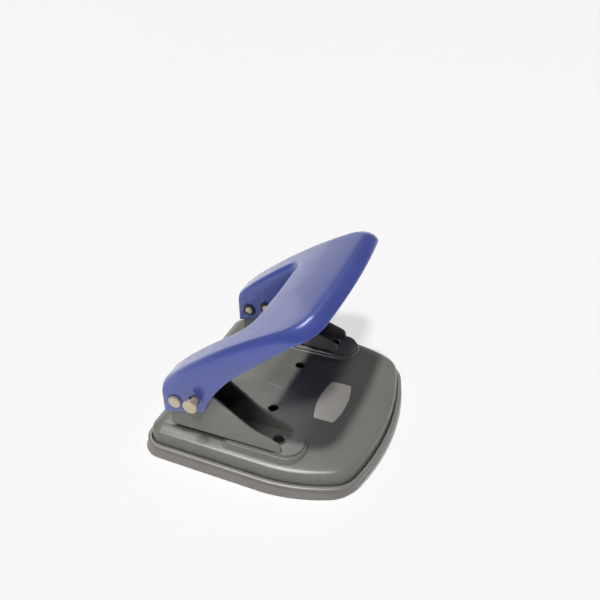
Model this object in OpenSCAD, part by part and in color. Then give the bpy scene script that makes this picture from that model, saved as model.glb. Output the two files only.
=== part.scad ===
// Two-hole desk punch: a pressed steel base plate and lever, two channel brackets,
// two sprung punches and a clip-on chip tray. Paper goes in from the +Y side.

/* [Base plate and tray] */
// Width of the tray where it stands on the desk
base_w = 113; // [104:0.5:130]
// Depth of the tray from its front lip to its foot at the rear
base_d = 112.8; // [105:0.2:130]
// Height of the base plate's flat top
plate_z = 15.3; // [14:0.1:20]
// Sheet thickness of the base plate
plate_t = 1.2; // [0.8:0.1:1.6]
// Width of the base plate's falling border
brow_w = 11; // [8:0.5:14]
// How far that border falls towards its edge
brow_fall = 2; // [1:0.1:3]
// Radius of the edge where the border turns down into the skirt
edge_r = 2.2; // [1.8:0.1:3]
// Radius of the bowed front edge
front_r = 127; // [110:1:180]
// Radius of the two front corners
front_corner_r = 15; // [12:1:20]
// Radius of the swelling sides
flank_r = 78; // [60:1:95]
// Radius of the two rear corners
rear_corner_r = 8.5; // [6:0.5:14]
// Height of the tray's lip
lip_z = 6.5; // [5.5:0.1:8]
// Width of the top of the lip
lip_w = 1.6; // [1.2:0.1:2.4]
// Height of the bead along the lip
lip_bead = 1.3; // [0.8:0.1:1.8]
// How far the tray's side and rear walls lean out below the lip
tray_flare = 1.2; // [0.4:0.1:2]
// How far the tray's front wall leans in below the lip
tray_tuck = 0.8; // [0:0.1:1.5]
// Thickness of the tray's floor
tray_t = 1.6; // [1:0.1:2.4]
// Height of the ledge that carries the base plate's skirt
ledge_z = 3.6; // [3:0.1:4.5]
// Distance of the two open holes from the middle
open_hole_x = 18; // [14:0.5:24]
// Distance of the two open holes from the line through the punches
open_hole_reach = 24.4; // [20:0.2:28]
// Diameter of the two open holes
open_hole_d = 5; // [3:0.1:6]
// Length of the pressed centre mark
mark_len = 10.4; // [6:0.1:12]
// Width of the blank label plate
label_w = 28.6; // [20:0.2:34]
// Depth of the blank label plate at its middle
label_d = 14.4; // [12:0.2:18]

/* [Brackets] */
// Distance between the two punched holes
hole_pitch = 80; // [76:0.5:86]
// Distance from the paper stop to the centre of a punched hole
throat = 12.6; // [11:0.1:14]
// Height of the paper slot, which is the height of the raised pads
slot_h = 1.7; // [1.4:0.1:2.4]
// Outside width of a bracket
bracket_w = 15; // [14:0.1:17]
// Sheet thickness of a bracket
bracket_t = 1.5; // [1.2:0.1:1.8]
// Height of a bracket's side walls above its web
bracket_h = 23.2; // [22.8:0.1:24]
// Radius of the round tongue at the front of a bracket
tongue_r = 7.9; // [7.6:0.1:8.6]
// Distance from the punch axis to the front end of the side walls
wall_reach = 40.8; // [39:0.2:43]
// Distance from the punch axis to the front eyelet
eyelet_front = 36.6; // [35:0.2:38]
// Distance from the punch axis to the rear eyelet
eyelet_rear = 18; // [17.6:0.2:20]
// Bore of the eyelets
eyelet_bore = 5; // [4:0.1:5.2]
// Margin of a raised pad around its bracket
pad_margin = 2.6; // [2:0.1:3.4]

/* [Lever] */
// Slope of the lever at rest
lever_tilt = 33; // [32:0.5:35]
// Sheet thickness of the lever
lever_t = 1.2; // [1:0.1:1.5]
// Distance from the pivot to the front edge of the lever
lever_len = 87.2; // [84:0.2:94]
// Distance from the pivot to the front edge of the opening between the arms
opening_len = 45.5; // [43:0.5:50]
// Corner radius of that opening
opening_r = 9; // [6:0.5:11]
// Radius of the lever's two front corners
lever_corner_r = 13.5; // [10:0.5:18]
// Radius of the lever's bowed front edge
lever_front_r = 340; // [200:10:500]
// Height of the crest of the lever's top above the pivot
crest_h = 15.1; // [14.8:0.1:17]
// Radius of the long crown of the lever's top
crown_r = 280; // [240:10:500]
// Bend radius of the arms' outer edges
arm_bend_r = 5; // [4:0.1:6]
// Width of the rolled nose at the front edge
nose_roll_w = 6; // [5:0.5:9]
// Drop of the rolled nose at the front edge
nose_roll_h = 5.2; // [4:0.1:6]
// Bend radius of the edges of the opening
opening_bend_r = 3.5; // [2.5:0.1:4]
// Straight lip below the rolled nose
nose_lip = 0.4; // [0.2:0.1:2]
// How far the arms swell out towards the front
arm_swell = 0.3; // [0:0.1:1.5]

/* [Punch mechanism] */
// Diameter of a punch
punch_d = 5.5; // [5:0.1:6]
// Distance from the pivot axis to the punch axis
drive_arm = 10.4; // [10:0.1:11]
// Height of the drive pin above the pivot at rest
drive_rise = 3.7; // [3.2:0.1:4]
// Height of the pivot above the top of the bracket's web
pivot_h = 16; // [15.5:0.1:17]
// Travel of a punch
stroke = 6; // [5:0.1:6.4]
// Diameter of the pivot and drive pins
pin_d = 4; // [3.6:0.1:4.4]
// Head diameter of the pivot pins
pivot_head_d = 6.2; // [5.4:0.1:7]
// Head diameter of the drive pins
drive_head_d = 7; // [6:0.1:8]
// Gap between the lever wall and the head of a drive pin
drive_head_gap = 3.2; // [1:0.1:4]
// Diameter of the push-on retaining rings
ring_d = 6.8; // [6:0.1:8]
// Wire diameter of the return springs
wire_d = 1; // [0.7:0.1:1.1]
// Mean coil diameter of the return springs
coil_d = 7.8; // [7.4:0.1:8.4]
// Number of turns of a return spring
spring_turns = 6; // [5:1:7]

/* [Clearances] */
// Radial clearance of a turning or sliding fit
run_fit = 0.05; // [0.02:0.01:0.1]
// Radial clearance of a fixed piece in its hole
seat_fit = 0.02; // [0.01:0.01:0.04]
// Gap between the lever's arms and the brackets
arm_gap = 0.5; // [0.4:0.05:0.8]
// Gap around a drive pin in its slots
slot_gap = 0.4; // [0.3:0.05:0.6]
// Gap between the base plate's skirt and the tray's lip
skirt_gap = 0.4; // [0.3:0.05:0.6]
// Gap between parts that come to rest against each other
rest_gap = 0.05; // [0.02:0.01:0.1]

/* [Hidden] */
$fn = 48;

// Turn of the outline where the front corner meets the flank, and taper of the sides to the rear
corner_turn = 66;
side_taper = 1.1;
// Small sizes of the tray
tray_foot = 0.6;
lip_round = 0.4;
bead_step = 0.4;
ledge_w = 2;
skirt_lean = 0.3;
// Least corner radius inside the base plate's border
rear_inner_r = 1;
// Small sizes of the raised pads
pad_slope = 0.8;
pad_root = 0.6;
pad_round = 0.3;
pad_corner_r = 2.5;
// Centre mark
mark_w = 0.7;
mark_depth = 0.3;
mark_turn = 16;
// Label plate
label_t = 0.3;
label_end_d = 10;
label_corner_r = 1.2;
label_x = -3;
label_reach = 50.2;
// Bracket
wall_front_h = 3.8;
wall_front_lean = 0.4;
wall_nose_r = 3.5;
wall_top_reach = 7.4;
wall_brow_r = 4;
wall_dip_reach = 14;
wall_dip_h = 8.6;
wall_dip_r = 30;
wall_top_y = 4.6;
bracket_bend_r = 2;
// Eyelets
eyelet_wall = 0.6;
eyelet_flange = 0.4;
eyelet_flange_t = 0.3;
// Lever
crest_u = 46;
heel = 6.4;
knuckle_u = 7;
knuckle_fall = 12;
toe = [11.2, -9.5];
toe_slope = 16.5;
toe_r = 3;
sweep_pull = [24, 0.5];
sweep_end = [46.7, 3.8];
corner_low = 7.9;
opening_skirt_h = 6;
nose_cut = 6;
// Pins, rings and punches
pivot_head_t = 1.4;
drive_head_t = 2;
pin_round = 0.5;
ring_t = 0.8;
ring_dish = 0.25;
pin_tail = 0.6;
punch_top = 4;
punch_lift = 0.2;
edge_hollow_r = 6;
edge_hollow = 0.8;
wire_sides = 6;
turn_steps = 8;
// Steps along the curves of the pressed and moulded pieces
long_steps = 5;
edge_steps = 4;
corner_steps = 6;
tongue_steps = 8;

// Places worked out from the sizes above
lip_out = lip_w - skirt_gap + lip_round;
tray_out = lip_out + tray_flare;
web_z = plate_z + slot_h;
tongue_z = web_z + bracket_t;
pivot_z = tongue_z + pivot_h;
pivot_y = 35.2;
punch_y = pivot_y - drive_arm;
stop_y = punch_y - throat;
drive_z = pivot_z + drive_rise;
bracket_x = hole_pitch / 2;
arm_w = bracket_w + 2 * (arm_gap + lever_t);
arm_in = bracket_x - arm_w / 2;
arm_out = bracket_x + arm_w / 2;
pad_r = tongue_r + pad_margin;
wall_front_y = punch_y - wall_reach;
skirt_off = -skirt_gap - lip_round;
plate_bottom = ledge_z + rest_gap;

// Outline tools: a direction is the angle of the outward normal, turning from -Y towards +X
function normal(a) = [sin(a), -cos(a)];
function arc(p, r, a, b, n) =
    [for (i = [1:n]) let (t = a + (b - a) * i / n) [p + r * (normal(t) - normal(a)), t]];
function last(list) = list[len(list) - 1];
// Stations [point, direction] along legs, each [radius, end direction, steps] or a straight [length]
function trace(p, a, legs, i = 0) =
    i == len(legs) ? [] :
    let (leg = legs[i])
    let (part = len(leg) == 1 ? [[p + leg[0] * [cos(a), sin(a)], a]] : arc(p, leg[0], a, leg[1], leg[2]))
    concat(part, trace(last(part)[0], last(part)[1], legs, i + 1));
function both_sides(half, off) =
    concat([for (s = half) s[0] + off * normal(s[1])],
        [for (i = [len(half) - 1:-1:1]) let (q = half[i][0] + off * normal(half[i][1])) [-q.x, q.y]]);
function lerp(a, b, t) = a + (b - a) * t;
function curve(a, b, c, t) = lerp(lerp(a, b, t), lerp(b, c, t), t);

// Outline of the tray's lip line and of the base plate, grown by off
edge_w = base_w / 2 - tray_out;
edge_d = base_d - lip_out - tray_out;
front_turn = asin((edge_w - flank_r - (front_corner_r - flank_r) * sin(corner_turn))
    / (front_r - front_corner_r));
side_turn = 90 + side_taper;
side_len = (edge_d - front_r * (1 - cos(front_turn))
    - front_corner_r * (cos(front_turn) - cos(corner_turn))
    - flank_r * (cos(corner_turn) - cos(side_turn))
    - rear_corner_r * (cos(side_turn) + 1)) / sin(side_turn);
edge_start = [0, lip_out - base_d / 2];
edge_half = concat([[edge_start, 0]], trace(edge_start, 0, [
    [front_r, front_turn, long_steps],
    [front_corner_r, corner_turn, corner_steps],
    [flank_r, side_turn, corner_steps],
    [side_len],
    [rear_corner_r, 180, corner_steps]]));
function edge_ring(off, z) = [for (p = both_sides(edge_half, off)) [p.x, p.y, z]];
// The tray's wall leans in at the front and out at the sides and rear, by a share k of the full lean
function lean(a) = lerp(-tray_tuck, tray_flare, min(max((a - front_turn) / (90 - front_turn), 0), 1));
function wall_ring(off, k, z) =
    let (half = [for (s = edge_half) [s[0] + k * lean(s[1]) * normal(s[1]), s[1]]])
    [for (p = both_sides(half, off)) [p.x, p.y, z]];

// Outline of a raised pad, grown by off
pad_start = [0, wall_front_y - pad_r];
pad_half = concat([[pad_start, 0]], trace(pad_start, 0, [
    [pad_r, 90, tongue_steps],
    [stop_y - wall_front_y - pad_corner_r],
    [pad_corner_r, 180, edge_steps]]));
function pad_ring(off, z) = [for (p = both_sides(pad_half, off)) [p.x, p.y, z]];

// Cap of a ring of n points in strips across it, from its first point to the far side
function cap(n) = concat([[0, 1, n - 1]], [for (i = [1:floor(n / 2) - 1])
    each concat([[i, i + 1, n - i]], i + 1 < n - i - 1 ? [[i + 1, n - i - 1, n - i]] : [])]);

// Skin over rings of equal count, closed at both ends
module loft(rings) {
    n = len(rings[0]);
    m = len(rings);
    polyhedron(
        points = [for (ring = rings) each ring],
        faces = concat(
            cap(n),
            [for (k = [0:m - 2], i = [0:n - 1])
                let (j = (i + 1) % n)
                each [[k * n + i, k * n + n + i, k * n + n + j], [k * n + i, k * n + n + j, k * n + j]]],
            [for (t = cap(n)) [for (i = [2:-1:0]) (m - 1) * n + t[i]]]));
}

// Corner of a 2D outline, rounded by r, between the points before and after it
function rounded(before, p, after, r, n = corner_steps) =
    let (u = (before - p) / norm(before - p), v = (after - p) / norm(after - p))
    let (half = acos(u * v) / 2)
    let (c = p + (u + v) / norm(u + v) * r / sin(half))
    let (a = p + u * r / tan(half) - c, b = p + v * r / tan(half) - c)
    let (turn = 180 - 2 * half, side = cross(a, b) < 0 ? -1 : 1)
    [for (i = [0:n]) let (t = side * turn * i / n)
        c + [a.x * cos(t) - a.y * sin(t), a.x * sin(t) + a.y * cos(t)]];
// Closed outline through corners [x, y, radius]
function rounded_outline(corners) =
    [for (i = [0:len(corners) - 1])
        let (q = corners[i], b = corners[(i + len(corners) - 1) % len(corners)], a = corners[(i + 1) % len(corners)])
        each q[2] == 0 ? [[q.x, q.y]] : rounded([b.x, b.y], [q.x, q.y], [a.x, a.y], q[2])];

// Places a piece made for the right-hand side on either side
module on_side(side) {
    mirror([side == "left" ? 1 : 0, 0, 0])
        translate([bracket_x, 0, 0])
            children();
}

// Base plate: pressed pan with a falling border, rolled edge and a raised pad under each bracket
brow_r = (brow_w * brow_w + brow_fall * brow_fall) / (2 * brow_fall);
brow_turn = asin(brow_w / brow_r);
border_out = skirt_off - skirt_lean - edge_r + edge_r * sin(brow_turn);
// The border narrows along the sides, so that it fits round the tight rear corners
rear_share = (rear_corner_r - rear_inner_r + border_out) / brow_w;
flank_y = edge_half[long_steps + 2 * corner_steps][0].y;
rear_y = edge_half[long_steps + 2 * corner_steps + 1][0].y;
function share(y) = lerp(1, rear_share, min(max((y - flank_y) / (rear_y - flank_y), 0), 1));
function border_ring(run, z) =
    let (half = [for (s = edge_half) [s[0] - run * share(s[0].y) * normal(s[1]), s[1]]])
    [for (p = both_sides(half, border_out)) [p.x, p.y, z]];
function plate_skin(depth) =
    let (r = edge_r - depth, from = skirt_off - skirt_lean - edge_r)
    let (low = plate_z - brow_fall - edge_r * cos(brow_turn))
    concat(
        [for (i = [0:edge_steps]) let (a = lerp(90, brow_turn, i / edge_steps))
            edge_ring(from + r * sin(a), low + r * cos(a))],
        [for (i = [1:long_steps]) let (a = lerp(brow_turn, 0, i / long_steps))
            border_ring(brow_w - (brow_r - depth) * sin(a), plate_z - brow_r + (brow_r - depth) * cos(a))]);

module pad(off, bottom, top) {
    loft([
        pad_ring(pad_slope + off, bottom),
        pad_ring(pad_slope + off, top - slot_h - pad_root),
        pad_ring(off, top - pad_round),
        pad_ring(off - pad_round, top)]);
}

module base_plate() {
    color([0.45, 0.46, 0.45])
        difference() {
            union() {
                loft(concat([edge_ring(skirt_off, plate_bottom)], plate_skin(0)));
                for (side = ["left", "right"])
                    on_side(side)
                        pad(0, plate_z - plate_t - brow_fall, web_z);
            }
            loft(concat(
                [edge_ring(skirt_off - plate_t, plate_bottom - plate_t)],
                [edge_ring(skirt_off - plate_t, plate_bottom)],
                plate_skin(plate_t)));
            for (side = ["left", "right"])
                on_side(side) {
                    pad(-plate_t, plate_bottom, web_z - plate_t);
                    eyelet_holes();
                    translate([0, punch_y, 0])
                        cylinder(r = punch_d / 2 + run_fit, h = 2 * plate_z);
                }
            for (x = [-open_hole_x, open_hole_x])
                translate([x, punch_y - open_hole_reach, 0])
                    cylinder(d = open_hole_d, h = 2 * plate_z);
            translate([0, stop_y, plate_z - mark_depth])
                rotate(-mark_turn)
                    translate([-mark_w / 2, -mark_len, 0])
                        cube([mark_w, mark_len, plate_t]);
        }
}

// Chip tray: moulded pan that closes the base from below, with a beaded lip and a ledge for the skirt
module chip_tray() {
    color([0.49, 0.46, 0.43])
        loft([
            wall_ring(lip_out - tray_foot, 1, 0),
            wall_ring(lip_out, 1, tray_foot),
            wall_ring(lip_out - bead_step, 0, lip_z - lip_bead - bead_step),
            wall_ring(lip_out, 0, lip_z - lip_bead),
            wall_ring(lip_out, 0, lip_z - lip_round),
            wall_ring(lip_out - lip_round, 0, lip_z),
            edge_ring(0, lip_z),
            edge_ring(-lip_round, lip_z - lip_round),
            edge_ring(-lip_round, ledge_z),
            edge_ring(-lip_round - skirt_gap - ledge_w, ledge_z),
            edge_ring(-lip_round - skirt_gap - ledge_w, tray_t)]);
}

// Blank label plate with bowed long edges
module label_plate() {
    bow = (label_d - label_end_d) / 2;
    bow_r = (label_w * label_w / 4 + bow * bow) / (2 * bow);
    half_turn = asin(label_w / 2 / bow_r);
    long_edge = [for (i = [0:tongue_steps]) let (a = lerp(-half_turn, half_turn, i / tongue_steps))
        [bow_r * sin(a), bow_r - label_d / 2 - bow_r * cos(a), i % tongue_steps == 0 ? label_corner_r : 0]];
    color([0.75, 0.74, 0.70])
        translate([label_x, punch_y - label_reach, plate_z])
            linear_extrude(label_t)
                polygon(rounded_outline(concat(long_edge, [for (p = long_edge) [-p.x, -p.y, p.z]])));
}

// Bracket: channel with the web at the bottom and a round tongue at the front
module eyelet_holes() {
    for (reach = [eyelet_front, eyelet_rear])
        translate([0, punch_y - reach, 0])
            cylinder(r = eyelet_bore / 2 + eyelet_wall + seat_fit, h = 2 * tongue_z);
}

module bracket() {
    top = tongue_z + bracket_h;
    back = pivot_y + wall_top_y;
    color([0.51, 0.50, 0.48])
        difference() {
            union() {
                intersection() {
                    rotate([90, 0, 90])
                        linear_extrude(bracket_w, center = true)
                            polygon(rounded_outline([
                                [wall_front_y, web_z, 0],
                                [back, web_z, 0],
                                [back, top, wall_top_y],
                                [punch_y - wall_top_reach, top, wall_brow_r],
                                [wall_front_y + wall_dip_reach, tongue_z + wall_dip_h, wall_dip_r],
                                [wall_front_y + wall_front_lean, tongue_z + wall_front_h, wall_nose_r]]));
                    rotate([90, 0, 0])
                        linear_extrude(4 * wall_reach, center = true)
                            channel_section(top);
                }
                translate([0, wall_front_y, web_z])
                    cylinder(r = tongue_r, h = bracket_t);
                translate([-bracket_w / 2 + bracket_bend_r, wall_front_y, web_z])
                    cube([bracket_w - 2 * bracket_bend_r, wall_reach, bracket_t]);
            }
            eyelet_holes();
            translate([0, punch_y, 0])
                cylinder(r = punch_d / 2 + run_fit, h = 2 * tongue_z);
            along_x(pivot_y, pivot_z)
                cylinder(d = pin_d + 2 * run_fit, h = 2 * bracket_w, center = true);
            along_x(punch_y, drive_z)
                pin_slot([0, 0], [0, -stroke]);
        }
}

module channel_section(top) {
    difference() {
        outer_u(bracket_w / 2, web_z, bracket_bend_r, top);
        outer_u(bracket_w / 2 - bracket_t, tongue_z, bracket_bend_r - bracket_t, top + bracket_t);
    }
}

module outer_u(half, bottom, r, top) {
    translate([-half, bottom + r])
        square([2 * half, top - bottom - r]);
    translate([-half + r, bottom])
        square([2 * (half - r), 2 * r]);
    for (x = [-half + r, half - r])
        translate([x, bottom + r])
            circle(r);
}

// Frame whose Z runs along +X, with X along +Y and Y along +Z, at a height z and depth y
module along_x(y, z) {
    translate([0, y, z])
        rotate([90, 0, 90])
            children();
}

// Slot for a drive pin whose centre travels from a to b
module pin_slot(a, b) {
    r = pin_d / 2 + slot_gap;
    run = b - a;
    for (p = [a, b])
        translate(p)
            cylinder(r = r, h = 4 * bracket_w, center = true);
    translate((a + b) / 2)
        rotate(atan2(run.y, run.x))
            cube([norm(run), 2 * r, 4 * bracket_w], center = true);
}

// Eyelet: open tubular rivet, flared over the tongue and under the pad
module eyelet(reach) {
    r = eyelet_bore / 2;
    low = web_z - plate_t;
    color([0.42, 0.41, 0.39])
        on_axis(reach)
            rotate_extrude()
                polygon([
                    [r, low - eyelet_flange_t],
                    [r + eyelet_wall + eyelet_flange, low - eyelet_flange_t],
                    [r + eyelet_wall + eyelet_flange, low],
                    [r + eyelet_wall, low],
                    [r + eyelet_wall, tongue_z],
                    [r + eyelet_wall + eyelet_flange, tongue_z],
                    [r + eyelet_wall + eyelet_flange, tongue_z + eyelet_flange_t / 2],
                    [r + eyelet_wall, tongue_z + eyelet_flange_t],
                    [r, tongue_z + eyelet_flange_t / 2]]);
}

module on_axis(reach) {
    translate([0, punch_y - reach, 0])
        children();
}

// Lever: drawn level with the pivot at the origin, u forward from the pivot and w up
function crown(u) = crest_h - crown_r + sqrt(crown_r * crown_r - (u - crest_u) * (u - crest_u));
function top_w(u) = u < knuckle_u ? crown(knuckle_u) - (knuckle_u - u) * tan(knuckle_fall) : crown(u);
function toe_line(u) = toe.y + (toe.x - u) * tan(toe_slope);
nose_w = crown(lever_len) - nose_roll_h - nose_lip;
corner_u = lever_len - lever_corner_r;
function front_low(u) = u < corner_u
    ? lerp(sweep_end.y, corner_low, (u - sweep_end.x) / (corner_u - sweep_end.x))
    : lerp(corner_low, nose_w, (u - corner_u) / (lever_len - corner_u));
// Lower edge of the arms from the heel to the opening's corner
arm_end = opening_len - opening_r;
sweep = [for (i = [1:tongue_steps]) curve(toe, sweep_pull, sweep_end, i / tongue_steps)];
arm_edge = concat(
    [for (u = [0, toe.x / 4, toe.x / 2]) [u, toe_line(u)]],
    rounded([0, toe_line(0)], toe, sweep_pull, toe_r, edge_steps),
    [for (p = sweep) if (p.x > toe.x + toe_r && p.x < arm_end - lever_t) p]);
function edge_low(u) = u > sweep_end.x ? front_low(u) : lookup(u, concat(arm_edge, sweep));

// Stations of the left half: [outer point, inner point, outer low, inner low, bend width, bend drop, bend cut]
swell_x = arm_out + arm_swell;
corner_in = opening_len - opening_r;
opening_low = top_w(opening_len) - opening_skirt_h;
// Width and drop of the bend where the arm meets the front corner
shoulder_w = (arm_bend_r + nose_roll_w) / 2;
shoulder_h = crown(corner_u) - corner_low - nose_lip;
// The bowed front edge meets each corner where both have the same direction
bow_x = swell_x - lever_corner_r;
bow_turn = asin(bow_x / (lever_front_r - lever_corner_r));
corner_mid = lever_len - lever_front_r + (lever_front_r - lever_corner_r) * cos(bow_turn);
function bow_point(a) = [-lever_front_r * sin(a), lever_len - lever_front_r * (1 - cos(a))];
half_stations = concat(
    [for (p = arm_edge) [[-arm_out, p.x], [-arm_in, p.x], p.y, p.y, arm_bend_r, arm_bend_r, 0]],
    [for (i = [0:corner_steps]) let (t = i / corner_steps, u = lerp(arm_end, corner_mid, t), a = 90 * t)
        [[-lerp(arm_out, swell_x, t), u],
            [-arm_in + opening_r * (1 - cos(a)), corner_in + opening_r * sin(a)],
            edge_low(u), lerp(edge_low(arm_end), opening_low, t),
            lerp(arm_bend_r, shoulder_w, t), lerp(arm_bend_r, shoulder_h, t), nose_cut * t]],
    [for (i = [1:corner_steps]) let (t = i / corner_steps, a = lerp(90, bow_turn, t))
        let (q = [-bow_x - lever_corner_r * sin(a), corner_mid + lever_corner_r * cos(a)])
        [q, [lerp(-arm_in + opening_r, -arm_in / 3, t), opening_len], edge_low(q.y), opening_low,
            lerp(shoulder_w, nose_roll_w, t), lerp(shoulder_h, nose_roll_h, t), nose_cut]],
    [for (i = [1:edge_steps]) let (t = i / edge_steps, q = bow_point(lerp(bow_turn, 0, t)))
        [q, [lerp(-arm_in / 3, 0, t), opening_len], edge_low(q.y), opening_low,
            nose_roll_w, nose_roll_h, nose_cut]]);
function mirrored(s) = [[-s[0].x, s[0].y], [-s[1].x, s[1].y], s[2], s[3], s[4], s[5], s[6]];
stations = concat(half_stations, [for (i = [len(half_stations) - 2:-1:0]) mirrored(half_stations[i])]);

// Channel section at a station, at a depth g inside the sheet, from the outer to the inner low edge
across = 4;
function section_path(s, g) =
    let (o = s[0], n = s[1], span = norm(n - o), d = (n - o) / span)
    let (cut = s[6], ro = s[4], ri = opening_bend_r)
    let (wide = ro / cos(cut), tall = s[5] / (1 - sin(cut)))
    concat(
        [[o + d * g, s[2]]],
        [for (i = [0:edge_steps]) let (a = lerp(cut, 90, i / edge_steps))
            let (q = o + d * (ro + g * (1 - cos(cut)) * (1 - i / edge_steps) - (wide - g) * cos(a)))
            [q, top_w(q.y) - tall + (tall - g) * sin(a)]],
        [for (k = [1:across - 1]) let (q = o + d * lerp(ro, span - ri, k / across)) [q, top_w(q.y) - g]],
        [for (i = [0:edge_steps]) let (a = lerp(90, 0, i / edge_steps), q = n - d * (ri - (ri - g) * cos(a)))
            [q, top_w(q.y) - ri + (ri - g) * sin(a)]],
        [[n - d * g, s[3]]]);
// The heel is cut upright where the lever rests
heel_low = (toe.y + toe.x * tan(toe_slope) + heel * tan(toe_slope) / cos(lever_tilt))
    / (1 + tan(lever_tilt) * tan(toe_slope));
function heel_u(w) = (w * sin(lever_tilt) - heel) / cos(lever_tilt);
function section_ring(i) =
    let (s = stations[i], end = i == 0 || i == len(stations) - 1)
    let (cut = end ? [s[0], s[1], heel_low, heel_low, s[4], s[5], s[6]] : s)
    let (skin = section_path(cut, 0), lining = section_path(cut, lever_t))
    [for (q = concat(skin, [for (k = [len(lining) - 1:-1:0]) lining[k]]))
        [q[0].x, end ? -heel_u(q[1]) : -q[0].y, q[1]]];

module lever_sheet() {
    rings = [for (i = [0:len(stations) - 1]) section_ring(i)];
    n = len(rings[0]);
    m = len(rings);
    polyhedron(
        points = [for (ring = rings) each ring],
        faces = concat(
            [for (k = [0:n / 2 - 2]) each [[k, k + 1, n - 2 - k], [k, n - 2 - k, n - 1 - k]]],
            [for (k = [0:m - 2], i = [0:n - 1])
                let (j = (i + 1) % n)
                each [[k * n + i, k * n + n + i, k * n + n + j], [k * n + i, k * n + n + j, k * n + j]]],
            [for (k = [0:n / 2 - 2]) let (e = (m - 1) * n)
                each [[e + k, e + n - 2 - k, e + k + 1], [e + k, e + n - 1 - k, e + n - 2 - k]]]));
}

module lever() {
    near = norm([drive_arm, drive_rise]);
    slot_turn = atan2(drive_rise, drive_arm);
    color([0.36, 0.37, 0.66])
        difference() {
            translate([0, pivot_y, pivot_z])
                rotate([-lever_tilt, 0, 0])
                    lever_sheet();
            for (x = [-bracket_x, bracket_x])
                translate([x, 0, 0]) {
                    along_x(pivot_y, pivot_z)
                        cylinder(d = pin_d + 2 * seat_fit, h = 2 * arm_w, center = true);
                    along_x(pivot_y, pivot_z)
                        rotate(180 - slot_turn)
                            pin_slot([drive_arm, 0], [near, 0]);
                }
        }
}

// Pins run along +X on the right-hand side, with the head outside
module headed_pin(length, head_d, head_t) {
    r = pin_d / 2;
    rotate_extrude()
        polygon([
            [0, -length],
            [r - pin_round, -length],
            [r, pin_round - length],
            [r, 0],
            [head_d / 2, 0],
            [head_d / 2, head_t - pin_round],
            [head_d / 2 - pin_round, head_t - pin_round / 4],
            [0, head_t]]);
}

module ring() {
    inner = pin_d / 2 + seat_fit;
    color([0.06, 0.06, 0.07])
        rotate_extrude()
            polygon([
                [inner, 0],
                [ring_d / 2, 0],
                [ring_d / 2, ring_t - ring_dish],
                [inner + ring_dish, ring_t],
                [inner, ring_t]]);
}

pin_inside = -arm_w / 2 - ring_t - pin_tail;

module pivot_pin() {
    color([0.85, 0.81, 0.66])
        along_x(pivot_y, pivot_z)
            translate([0, 0, arm_w / 2])
                headed_pin(arm_w / 2 - pin_inside, pivot_head_d, pivot_head_t);
}

module pivot_ring() {
    along_x(pivot_y, pivot_z)
        translate([0, 0, -arm_w / 2])
            mirror([0, 0, 1])
                ring();
}

module drive_pin() {
    color([0.85, 0.81, 0.66])
        along_x(punch_y, drive_z)
            translate([0, 0, arm_w / 2 + drive_head_gap])
                headed_pin(arm_w / 2 + drive_head_gap - pin_inside + slot_gap, drive_head_d, drive_head_t);
}

module drive_ring() {
    along_x(punch_y, drive_z)
        translate([0, 0, -arm_w / 2 - slot_gap])
            mirror([0, 0, 1])
                ring();
}

// Punch: hardened rod with a hollow-ground cutting end and a cross hole for its drive pin
module punch_rod() {
    tip = web_z + punch_lift;
    color([0.68, 0.68, 0.70])
        difference() {
            translate([0, punch_y, tip])
                cylinder(d = punch_d, h = drive_z + punch_top - tip);
            along_x(punch_y, drive_z)
                cylinder(d = pin_d + 2 * seat_fit, h = 2 * punch_d, center = true);
            along_x(punch_y, tip - edge_hollow_r + edge_hollow)
                cylinder(r = edge_hollow_r, h = 2 * punch_d, center = true);
        }
}

// Return spring: one wire wound from the bracket's web up to the drive pin
spring_low = tongue_z + rest_gap + wire_d / 2;
spring_high = drive_z - pin_d / 2 - rest_gap - wire_d / 2;
function coil_point(k) =
    let (a = 360 * k / turn_steps, t = k / (turn_steps * spring_turns))
    [coil_d / 2 * cos(a), coil_d / 2 * sin(a), lerp(spring_low, spring_high, t)];
function wire_ring(k) =
    let (a = 360 * k / turn_steps, out = [cos(a), sin(a), 0])
    let (rise = (spring_high - spring_low) / spring_turns / (PI * coil_d))
    let (along = [-sin(a), cos(a), rise] / norm([1, rise]), up = cross(out, along))
    [for (i = [0:wire_sides - 1]) let (b = 360 * i / wire_sides)
        coil_point(k) + wire_d / 2 * (cos(b) * out - sin(b) * up)];
coil_rings = [for (k = [0:turn_steps * spring_turns]) wire_ring(k)];
coil_gap = min([for (k = [0:turn_steps * (spring_turns - 1)])
    min([for (p = coil_rings[k], q = coil_rings[k + turn_steps]) norm(p - q)])]);
echo(least_gap_between_spring_turns = coil_gap);

module return_spring() {
    color([0.72, 0.72, 0.72])
        translate([0, punch_y, 0])
            loft(coil_rings);
}

base_plate();
chip_tray();
label_plate();
lever();
on_side("left") bracket();  // left_bracket
on_side("left") eyelet(eyelet_front);  // left_front_eyelet
on_side("left") eyelet(eyelet_rear);  // left_rear_eyelet
on_side("left") pivot_pin();  // left_pivot_pin
on_side("left") pivot_ring();  // left_pivot_ring
on_side("left") drive_pin();  // left_drive_pin
on_side("left") drive_ring();  // left_drive_ring
on_side("left") punch_rod();  // left_punch_rod
on_side("left") return_spring();  // left_return_spring
on_side("right") bracket();  // right_bracket
on_side("right") eyelet(eyelet_front);  // right_front_eyelet
on_side("right") eyelet(eyelet_rear);  // right_rear_eyelet
on_side("right") pivot_pin();  // right_pivot_pin
on_side("right") pivot_ring();  // right_pivot_ring
on_side("right") drive_pin();  // right_drive_pin
on_side("right") drive_ring();  // right_drive_ring
on_side("right") punch_rod();  // right_punch_rod
on_side("right") return_spring();  // right_return_spring
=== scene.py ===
import math

import bmesh
import bpy
from mathutils import Matrix, Vector


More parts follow.
